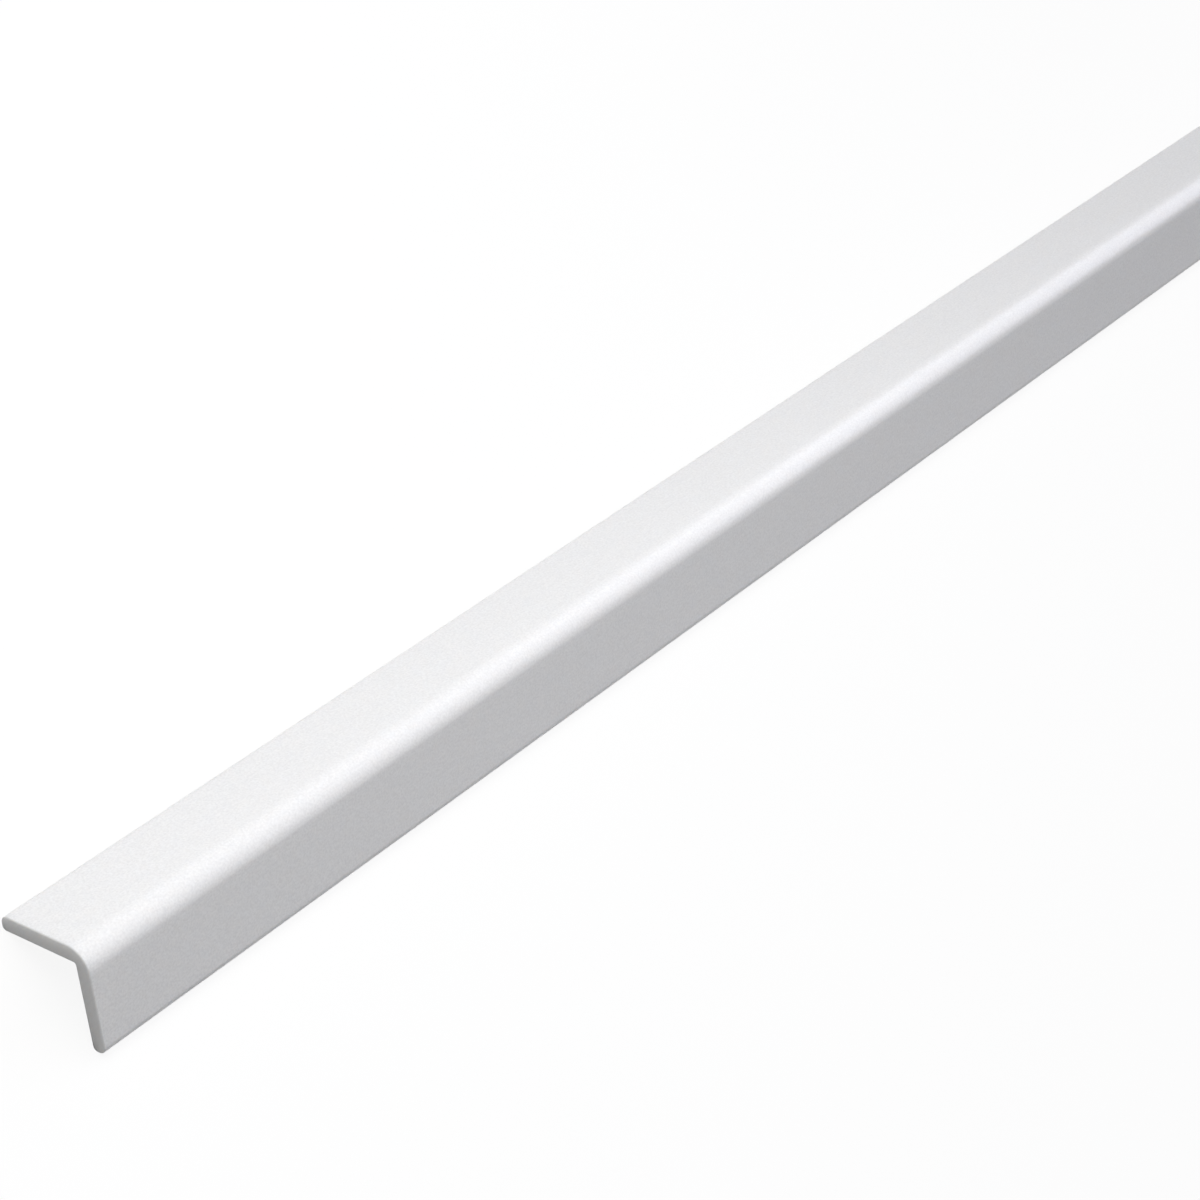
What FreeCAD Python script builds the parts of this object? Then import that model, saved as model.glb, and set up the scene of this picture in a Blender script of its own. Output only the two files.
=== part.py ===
"""Corner guard moulding: an equal-leg angle of white plastic, extruded in one piece and sawn to length.

It lies as it would on a floor: ridge up, on the free edges of its two legs, with its length along X.
Leg A slopes down towards +Y and leg B towards -Y. The origin is on the floor, under the middle.
"""
import FreeCAD, Part
import math
import os

# Sizes in millimetres
LENGTH = 1219.2          # stock length, four feet
LEG = 19.05              # outer width of each leg, from the corner's sharp point, three quarters of an inch
WALL = 2.75              # thickness of both legs
OUTER_RADIUS = 4.0       # round on the outside of the corner
INNER_RADIUS = 0.5       # small round in the inside of the corner
TIP_OUTER_RADIUS = 1.6   # round on each leg's free edge, on the outer side
TIP_INNER_RADIUS = 0.8   # round on each leg's free edge, on the inner side

# Both legs slope at 45 degrees, so a step along a leg moves this share of it across and down
SLOPE = math.sqrt(0.5)

# The two rounds of a free edge share the wall's thickness between them
tip_outer_radius = min(TIP_OUTER_RADIUS, WALL - TIP_INNER_RADIUS)

# Height of the corner's sharp point, with the inner rounds of both free edges on the floor
corner_height = (LEG + WALL - 2 * TIP_INNER_RADIUS) * SLOPE + TIP_INNER_RADIUS


def section_point(along_a, along_b):
    """A point of the near end's section, from its distances along both legs from the sharp corner."""
    across = (along_a - along_b) * SLOPE
    height = corner_height - (along_a + along_b) * SLOPE
    return FreeCAD.Vector(-LENGTH / 2, across, height)


def quarter_round(before, corner, after, radius):
    """The arc that rounds a right-angled corner, from the side before it to the side after it."""
    back = (before - corner).normalize() * radius
    ahead = (after - corner).normalize() * radius
    middle = corner + (back + ahead) * (1 - SLOPE)
    return Part.Arc(corner + back, middle, corner + ahead)


def rounded_outline(corners, radii):
    """A closed outline through right-angled corners, each with a round of its own."""
    count = len(corners)
    arcs = []
    for i in range(count):
        arcs.append(quarter_round(corners[i - 1], corners[i], corners[(i + 1) % count], radii[i]))
    edges = []
    for i in range(count):
        edges.append(arcs[i].toShape())
        flat_start = arcs[i].EndPoint
        flat_end = arcs[(i + 1) % count].StartPoint
        if flat_start.distanceToPoint(flat_end) > Part.Precision.confusion():
            edges.append(Part.LineSegment(flat_start, flat_end).toShape())
    return Part.Wire(edges)


def corner_guard():
    """The angle's six-cornered section, drawn at the near end and extruded along the length."""
    corners = [
        section_point(0, 0),
        section_point(LEG, 0),
        section_point(LEG, WALL),
        section_point(WALL, WALL),
        section_point(WALL, LEG),
        section_point(0, LEG),
    ]
    radii = [
        OUTER_RADIUS,
        tip_outer_radius,
        TIP_INNER_RADIUS,
        INNER_RADIUS,
        TIP_INNER_RADIUS,
        tip_outer_radius,
    ]
    section = Part.Face(rounded_outline(corners, radii))
    return section.extrude(FreeCAD.Vector(LENGTH, 0, 0))


os.makedirs("parts", exist_ok=True)
guard = corner_guard()
guard.exportStep("parts/corner_guard.step")
box = guard.BoundBox
print("corner_guard:", guard.ShapeType, "valid" if guard.isValid() else "not valid")
print("size in mm:", round(box.XLength, 3), round(box.YLength, 3), round(box.ZLength, 3))
print("lowest point in mm:", round(box.ZMin, 4), "volume in litres:", round(guard.Volume / 1e6, 4))
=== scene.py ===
"""Looks of the corner guard moulding: one satin white plastic angle on a white studio floor.

The angle lies ridge up with its length along X. Its near end, at -X, is the one that the camera sees.
Lengths are in metres, unless a comment gives another unit.
"""
import math

import bpy
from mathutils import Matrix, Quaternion, Vector


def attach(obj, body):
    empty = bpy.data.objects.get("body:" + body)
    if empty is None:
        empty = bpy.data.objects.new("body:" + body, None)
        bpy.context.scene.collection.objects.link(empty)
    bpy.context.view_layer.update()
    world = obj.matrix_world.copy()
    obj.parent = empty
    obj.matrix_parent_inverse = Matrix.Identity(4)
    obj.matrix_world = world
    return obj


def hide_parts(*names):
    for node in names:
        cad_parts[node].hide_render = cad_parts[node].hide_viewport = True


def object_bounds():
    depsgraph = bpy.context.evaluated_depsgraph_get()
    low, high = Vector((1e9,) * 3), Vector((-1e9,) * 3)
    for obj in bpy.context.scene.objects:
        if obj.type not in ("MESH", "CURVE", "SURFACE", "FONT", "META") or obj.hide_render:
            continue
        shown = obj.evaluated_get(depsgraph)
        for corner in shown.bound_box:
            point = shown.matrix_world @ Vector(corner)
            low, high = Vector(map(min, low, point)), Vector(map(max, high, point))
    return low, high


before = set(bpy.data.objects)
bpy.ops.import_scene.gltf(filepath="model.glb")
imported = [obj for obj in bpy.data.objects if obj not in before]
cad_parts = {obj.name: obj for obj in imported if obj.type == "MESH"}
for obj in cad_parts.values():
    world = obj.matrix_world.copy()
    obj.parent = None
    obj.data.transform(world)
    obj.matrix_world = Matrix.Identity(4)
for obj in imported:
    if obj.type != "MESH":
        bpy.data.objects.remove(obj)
cad_low, cad_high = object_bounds()

# Section of the angle
LEG = 0.01905                  # outer width of each leg, from the corner's sharp point
WALL = 0.00275                 # thickness of both legs
OUTER_RADIUS = 0.004           # round on the outside of the corner
INNER_RADIUS = 0.0005          # small round in the inside of the corner
TIP_OUTER_RADIUS = 0.0016      # round on each leg's free edge, on the outer side
TIP_INNER_RADIUS = 0.0008      # round on each leg's free edge, on the inner side

# Wear of the saw cut's sharp edge
WORN_INSET = 0.0003            # how far full wear reaches across the sawn end
WORN_DEPTH = 0.0002            # how far full wear reaches along the length
OUTSIDE_WEAR = 1               # share of it on the outside of the angle
TIP_WEAR = 0.3                 # share of it on the legs' free edges
INSIDE_WEAR = 0.07             # share of it on the inside of the angle

# Fineness of the mesh: segments in each quarter round
OUTER_SEGMENTS = 32
TIP_SEGMENTS = 12
INNER_SEGMENTS = 6
WORN_SEGMENTS = 10

# Both legs slope at 45 degrees, so a step along a leg moves this share of it across and down
SLOPE = math.sqrt(0.5)

# Places of both ends, and the height of the corner's sharp point
near_x = cad_low.x
far_x = cad_high.x
corner_height = (LEG + WALL - 2 * TIP_INNER_RADIUS) * SLOPE + TIP_INNER_RADIUS

# Camera: its place from the near end's sharp corner, angles in degrees, lens and sensor in millimetres
CAMERA_OFFSET = Vector((-0.21464, -0.03307, 0.38447))
CAMERA_AZIMUTH = -84.424
CAMERA_ELEVATION = 48.607
CAMERA_ROLL = 48.004
LENS = 87.664
SENSOR = 36

# Plastic, as it comes from the die and as it is left by the saw; the sawn ends are coloured lighter than
# the drawn plastic, as painted light on their shaded faces
PLASTIC_DARK = (0.823, 0.823, 0.825, 1)
PLASTIC_LIGHT = (0.917, 0.918, 0.917, 1)
PLASTIC_ROUGHNESS = (0.29, 0.36)
PLASTIC_IOR = 1.54
SCATTER_REACH = 0.0012         # how far light spreads under the skin
SCATTER_COLOURS = (1, 0.96, 0.92)
# sawn colours sit above the drawn plastic's: painted light that brightens the shaded sawn ends, with the
# saw marks' own tone between the two
SAWN_DARK_PAINTED_LIT = (0.9, 0.899, 0.894, 1)
SAWN_LIGHT_PAINTED_LIT = (0.93, 0.929, 0.924, 1)
SAWN_ROUGHNESS = (0.5, 0.65)

# Texture of the plastic: features a metre, the share of them along X, Y and Z, and the relief's depth
NOISE_LOW = 0.3                # where the raw noise seldom goes below
NOISE_HIGH = 0.7               # where the raw noise seldom goes above
CLOUD_SCALE = 40               # soft patches of more and less gloss
CLOUD_BY_AXIS = (0.4, 1, 1)
DIE_LINE_SCALE = 1500          # fine lines along the length
DIE_LINE_BY_AXIS = (0.004, 1, 1)
DIE_LINE_DEPTH = 0.0000025
GRAIN_SCALE = 2600             # grains of the satin surface
GRAIN_BY_AXIS = (1, 1, 1)
GRAIN_DEPTH = 0.000004
SAW_MARK_SCALE = 2200          # fine marks that run up the sawn ends
SAW_MARK_BY_AXIS = (1, 1, 0.06)
SAW_MARK_DEPTH = 0.000008

# Studio
WHITE = (1, 1, 1, 1)
AMBIENT_STRENGTH = 0.065
FLOOR_BOUNCE = (0.5, 0.5, 0.5, 1)
FLOOR_SHADOW_SHARE = 0.1       # share of the floor's look that the lamps light
FLOOR_REACH = 20
AIM_HEIGHT = 0.01              # height of the points that the lamps face
BACK_AIM = 0.3                 # where the back lamp points, from the near end
FAR_AIM = 1.07                 # where the far lamp points, from the near end


def quarter_round(corner, back, ahead, radius, segments, wear):
    """Points, outward normals and wear round a right-angled corner, from the side at back to that ahead.

    The wear goes evenly from the first of the two values in wear to the second.
    """
    turn = back[0] * ahead[1] - back[1] * ahead[0]
    outward = 1 if turn < 0 else -1
    centre = (corner[0] + (back[0] + ahead[0]) * radius, corner[1] + (back[1] + ahead[1]) * radius)
    points = []
    for i in range(segments + 1):
        angle = math.pi / 2 * i / segments
        arm = (
            -ahead[0] * math.cos(angle) - back[0] * math.sin(angle),
            -ahead[1] * math.cos(angle) - back[1] * math.sin(angle),
        )
        point = (centre[0] + arm[0] * radius, centre[1] + arm[1] * radius)
        worn = wear[0] + (wear[1] - wear[0]) * i / segments
        points.append((point, (arm[0] * outward, arm[1] * outward), worn))
    return points


def section_outline():
    """The closed outline as points, outward normals and wear, by distances along legs A and B."""
    along, against = (1, 0), (-1, 0)
    down, up = (0, 1), (0, -1)
    outer, tip, inner = OUTSIDE_WEAR, TIP_WEAR, INSIDE_WEAR
    outline = quarter_round((0, 0), down, along, OUTER_RADIUS, OUTER_SEGMENTS, (outer, outer))
    outline += quarter_round((LEG, 0), against, down, TIP_OUTER_RADIUS, TIP_SEGMENTS, (outer, tip))
    outline += quarter_round((LEG, WALL), up, against, TIP_INNER_RADIUS, TIP_SEGMENTS, (tip, inner))
    outline += quarter_round((WALL, WALL), along, down, INNER_RADIUS, INNER_SEGMENTS, (inner, inner))
    outline += quarter_round((WALL, LEG), up, against, TIP_INNER_RADIUS, TIP_SEGMENTS, (inner, tip))
    outline += quarter_round((0, LEG), along, up, TIP_OUTER_RADIUS, TIP_SEGMENTS, (tip, outer))
    return outline


def lying(pair):
    """Turns a step along legs A and B into a step across Y and up Z, for the angle lying ridge up."""
    return (pair[0] - pair[1]) * SLOPE, -(pair[0] + pair[1]) * SLOPE


def guard_mesh():
    """The angle as one closed mesh: rings along X, with worn edges at both saw cuts."""
    outline = section_outline()
    count = len(outline)
    quarter = [math.pi / 2 * i / WORN_SEGMENTS for i in range(WORN_SEGMENTS + 1)]
    rings = [(near_x, -1, angle) for angle in reversed(quarter)]
    rings += [(far_x, 1, angle) for angle in quarter]
    vertices = []
    normals = []
    for end_x, side, angle in rings:
        for point, normal, worn in outline:
            inset = WORN_INSET * worn * (1 - math.cos(angle))
            x = end_x - side * WORN_DEPTH * worn * (1 - math.sin(angle))
            y, z = lying((point[0] - normal[0] * inset, point[1] - normal[1] * inset))
            ny, nz = lying(normal)
            vertices.append((x, y, corner_height + z))
            flat_share = WORN_DEPTH * math.cos(angle)
            end_share = WORN_INSET * math.sin(angle)
            normals.append(Vector((side * end_share, ny * flat_share, nz * flat_share)).normalized())
    faces = []
    for ring in range(len(rings) - 1):
        for i in range(count):
            j = (i + 1) % count
            a, b = ring * count, (ring + 1) * count
            faces.append((a + i, b + i, b + j, a + j))
    faces.append(tuple(range(count)))
    faces.append(tuple(reversed(range((len(rings) - 1) * count, len(rings) * count))))
    mesh = bpy.data.meshes.new("corner_guard_skin")
    mesh.from_pydata(vertices, [], faces)
    mesh.shade_smooth()
    cap_normals = {len(faces) - 2: Vector((-1, 0, 0)), len(faces) - 1: Vector((1, 0, 0))}
    loop_normals = []
    for polygon in mesh.polygons:
        for vertex in polygon.vertices:
            loop_normals.append(cap_normals.get(polygon.index, normals[vertex]))
    mesh.normals_split_custom_set(loop_normals)
    mesh.validate()
    return mesh


def new_material(name):
    """Plastic that light sinks into: material, nodes, links, shader and the piece's own coordinates."""
    material = bpy.data.materials.new(name)
    material.use_nodes = True
    nodes, links = material.node_tree.nodes, material.node_tree.links
    shader = nodes["Principled BSDF"]
    shader.inputs["IOR"].default_value = PLASTIC_IOR
    shader.inputs["Subsurface Weight"].default_value = 1
    shader.inputs["Subsurface Radius"].default_value = SCATTER_COLOURS
    shader.inputs["Subsurface Scale"].default_value = SCATTER_REACH
    place = nodes.new("ShaderNodeTexCoord").outputs["Object"]
    return material, nodes, links, shader, place


def noise(nodes, links, place, by_axis, scale, detail):
    """Soft noise from 0 to 1, with so many features a metre and the share of them along each axis."""
    mapping = nodes.new("ShaderNodeMapping")
    mapping.inputs["Scale"].default_value = by_axis
    links.new(place, mapping.inputs["Vector"])
    texture = nodes.new("ShaderNodeTexNoise")
    texture.inputs["Scale"].default_value = scale
    texture.inputs["Detail"].default_value = detail
    links.new(mapping.outputs["Vector"], texture.inputs["Vector"])
    full = nodes.new("ShaderNodeMapRange")
    full.inputs["From Min"].default_value = NOISE_LOW
    full.inputs["From Max"].default_value = NOISE_HIGH
    links.new(texture.outputs["Fac"], full.inputs["Value"])
    return full.outputs["Result"]


def blend(nodes, links, value, dark, light):
    """A colour between two, by a value from 0 to 1."""
    mix = nodes.new("ShaderNodeMixRGB")
    mix.inputs["Color1"].default_value = dark
    mix.inputs["Color2"].default_value = light
    links.new(value, mix.inputs["Fac"])
    return mix.outputs["Color"]


def between(nodes, links, value, bounds):
    """A number between two, by a value from 0 to 1."""
    spread = nodes.new("ShaderNodeMapRange")
    spread.inputs["To Min"].default_value = bounds[0]
    spread.inputs["To Max"].default_value = bounds[1]
    links.new(value, spread.inputs["Value"])
    return spread.outputs["Result"]


def relief(nodes, links, height, depth, under):
    """Fine relief of the surface, on top of the relief under it if there is any."""
    bump = nodes.new("ShaderNodeBump")
    bump.inputs["Strength"].default_value = 1
    bump.inputs["Distance"].default_value = depth
    links.new(height, bump.inputs["Height"])
    if under:
        links.new(under, bump.inputs["Normal"])
    return bump.outputs["Normal"]


def drawn_plastic():
    """Satin white plastic with a fine grain, and faint lines along the length from the die."""
    material, nodes, links, shader, place = new_material("white_plastic_drawn")
    cloud = noise(nodes, links, place, CLOUD_BY_AXIS, CLOUD_SCALE, detail=3)
    lines = noise(nodes, links, place, DIE_LINE_BY_AXIS, DIE_LINE_SCALE, detail=2)
    grain = noise(nodes, links, place, GRAIN_BY_AXIS, GRAIN_SCALE, detail=1)
    links.new(blend(nodes, links, grain, PLASTIC_DARK, PLASTIC_LIGHT), shader.inputs["Base Color"])
    links.new(between(nodes, links, cloud, PLASTIC_ROUGHNESS), shader.inputs["Roughness"])
    drawn = relief(nodes, links, lines, DIE_LINE_DEPTH, None)
    links.new(relief(nodes, links, grain, GRAIN_DEPTH, drawn), shader.inputs["Normal"])
    return material


def sawn_plastic():
    """The same plastic where the saw went through it: duller, with straight fine marks, and a lighter
    colour that is painted light on the shaded ends.
    """
    material, nodes, links, shader, place = new_material("white_plastic_sawn")
    marks = noise(nodes, links, place, SAW_MARK_BY_AXIS, SAW_MARK_SCALE, detail=2)
    # colour of the saw marks, lifted above the drawn plastic's as painted light on the shaded ends
    links.new(blend(nodes, links, marks, SAWN_DARK_PAINTED_LIT, SAWN_LIGHT_PAINTED_LIT), shader.inputs["Base Color"])
    links.new(between(nodes, links, marks, SAWN_ROUGHNESS), shader.inputs["Roughness"])
    links.new(relief(nodes, links, marks, SAW_MARK_DEPTH, None), shader.inputs["Normal"])
    return material


def add_guard():
    """The dressed angle, in place of the plain one. What faces along X more than across it is sawn."""
    mesh = guard_mesh()
    mesh.materials.append(drawn_plastic())
    mesh.materials.append(sawn_plastic())
    for polygon in mesh.polygons:
        if abs(polygon.normal.x) > SLOPE:
            polygon.material_index = 1
    guard = bpy.data.objects.new("corner_guard_skin", mesh)
    bpy.context.scene.collection.objects.link(guard)
    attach(guard, "root")
    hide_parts("corner_guard")


def add_camera():
    """The view from above the near end, rolled so that the length runs away up to the right."""
    data = bpy.data.cameras.new("camera")
    data.lens = LENS
    data.sensor_width = SENSOR
    data.clip_start = 0.01
    data.clip_end = 50
    camera = bpy.data.objects.new("camera", data)
    bpy.context.scene.collection.objects.link(camera)
    azimuth, elevation = math.radians(CAMERA_AZIMUTH), math.radians(CAMERA_ELEVATION)
    back = Vector((
        math.sin(azimuth) * math.cos(elevation),
        -math.cos(azimuth) * math.cos(elevation),
        math.sin(elevation),
    ))
    camera.rotation_mode = "QUATERNION"
    level = (-back).to_track_quat("-Z", "Y")
    camera.rotation_quaternion = level @ Quaternion((0, 0, 1), math.radians(CAMERA_ROLL))
    camera.location = Vector((near_x, 0, corner_height)) + CAMERA_OFFSET
    bpy.context.scene.camera = camera


def seen_directly(nodes, links):
    """1 for rays that see the background from the camera, or by a mirror or glass, and 0 for others."""
    path = nodes.new("ShaderNodeLightPath")
    seen = path.outputs["Is Camera Ray"]
    for kind in ("Is Glossy Ray", "Is Transmission Ray"):
        either = nodes.new("ShaderNodeMath")
        either.operation = "MAXIMUM"
        links.new(seen, either.inputs[0])
        links.new(path.outputs[kind], either.inputs[1])
        seen = either.outputs[0]
    return seen


def add_world():
    """White to look at, and a dim even light on the object."""
    world = bpy.data.worlds.new("world")
    bpy.context.scene.world = world
    world.use_nodes = True
    nodes, links = world.node_tree.nodes, world.node_tree.links
    ambient = nodes["Background"]
    ambient.inputs["Color"].default_value = WHITE
    ambient.inputs["Strength"].default_value = AMBIENT_STRENGTH
    white = nodes.new("ShaderNodeBackground")
    white.inputs["Color"].default_value = WHITE
    white.inputs["Strength"].default_value = 1
    mix = nodes.new("ShaderNodeMixShader")
    links.new(seen_directly(nodes, links), mix.inputs[0])
    links.new(ambient.outputs[0], mix.inputs[1])
    links.new(white.outputs[0], mix.inputs[2])
    links.new(mix.outputs[0], nodes["World Output"].inputs["Surface"])


def floor_material():
    """White to look at, with the object's shadow, and greyer for the light that it throws back up."""
    material = bpy.data.materials.new("floor")
    material.use_nodes = True
    nodes, links = material.node_tree.nodes, material.node_tree.links
    nodes.remove(nodes["Principled BSDF"])
    bounce = nodes.new("ShaderNodeBsdfDiffuse")
    bounce.inputs["Color"].default_value = FLOOR_BOUNCE
    lit = nodes.new("ShaderNodeBsdfDiffuse")
    lit.inputs["Color"].default_value = WHITE
    white = nodes.new("ShaderNodeEmission")
    white.inputs["Color"].default_value = WHITE
    white.inputs["Strength"].default_value = 1
    shown = nodes.new("ShaderNodeMixShader")
    shown.inputs[0].default_value = FLOOR_SHADOW_SHARE
    links.new(white.outputs[0], shown.inputs[1])
    links.new(lit.outputs[0], shown.inputs[2])
    mix = nodes.new("ShaderNodeMixShader")
    links.new(seen_directly(nodes, links), mix.inputs[0])
    links.new(bounce.outputs[0], mix.inputs[1])
    links.new(shown.outputs[0], mix.inputs[2])
    links.new(mix.outputs[0], nodes["Material Output"].inputs["Surface"])
    return material


def add_floor():
    """The floor that the angle lies on."""
    mesh = bpy.data.meshes.new("floor")
    reach = FLOOR_REACH
    corners = [(-reach, -reach, 0), (reach, -reach, 0), (reach, reach, 0), (-reach, reach, 0)]
    mesh.from_pydata(corners, [], [(0, 1, 2, 3)])
    mesh.materials.append(floor_material())
    floor = bpy.data.objects.new("floor", mesh)
    bpy.context.scene.collection.objects.link(floor)


def add_lamp(name, aim, direction, distance, width, height, energy, colour, spread=180, gloss=True):
    """A soft oval lamp that faces a point near the ground from a direction, and isn't seen itself.

    The point is given by its distance along X from the near end, and the spread of the light in degrees.
    A lamp without gloss lights the surface, but isn't mirrored in it.
    """
    data = bpy.data.lights.new(name, "AREA")
    data.shape = "ELLIPSE"
    data.size = width
    data.size_y = height
    data.energy = energy
    data.color = colour
    data.spread = math.radians(spread)
    lamp = bpy.data.objects.new(name, data)
    bpy.context.scene.collection.objects.link(lamp)
    direction = Vector(direction).normalized()
    lamp.location = Vector((near_x + aim, 0, AIM_HEIGHT)) + direction * distance
    lamp.rotation_mode = "QUATERNION"
    lamp.rotation_quaternion = (-direction).to_track_quat("-Z", "Y")
    lamp.visible_camera = False
    lamp.visible_glossy = gloss


def add_lights():
    """A soft key lamp over the near end, a broad one past the far end, and a strip over the far part."""
    add_lamp(
        "key", aim=0, direction=(0.04, 0.35, 0.88), distance=0.45, width=0.6, height=0.4,
        energy=2.18, colour=(1, 0.996, 0.982), gloss=False,
    )
    add_lamp(
        "back", aim=BACK_AIM, direction=(0.79, 0.05, 0.61), distance=3, width=4, height=1.6,
        energy=42.8, colour=(0.867, 0.873, 1),
    )
    add_lamp(
        "far", aim=FAR_AIM, direction=(0, 0.35, 1), distance=0.35, width=1.25, height=0.3,
        energy=0.45, colour=(1, 1, 0.95), spread=60, gloss=False,
    )


bpy.context.scene.view_settings.view_transform = "Standard"
add_guard()
add_camera()
add_world()
add_floor()
add_lights()
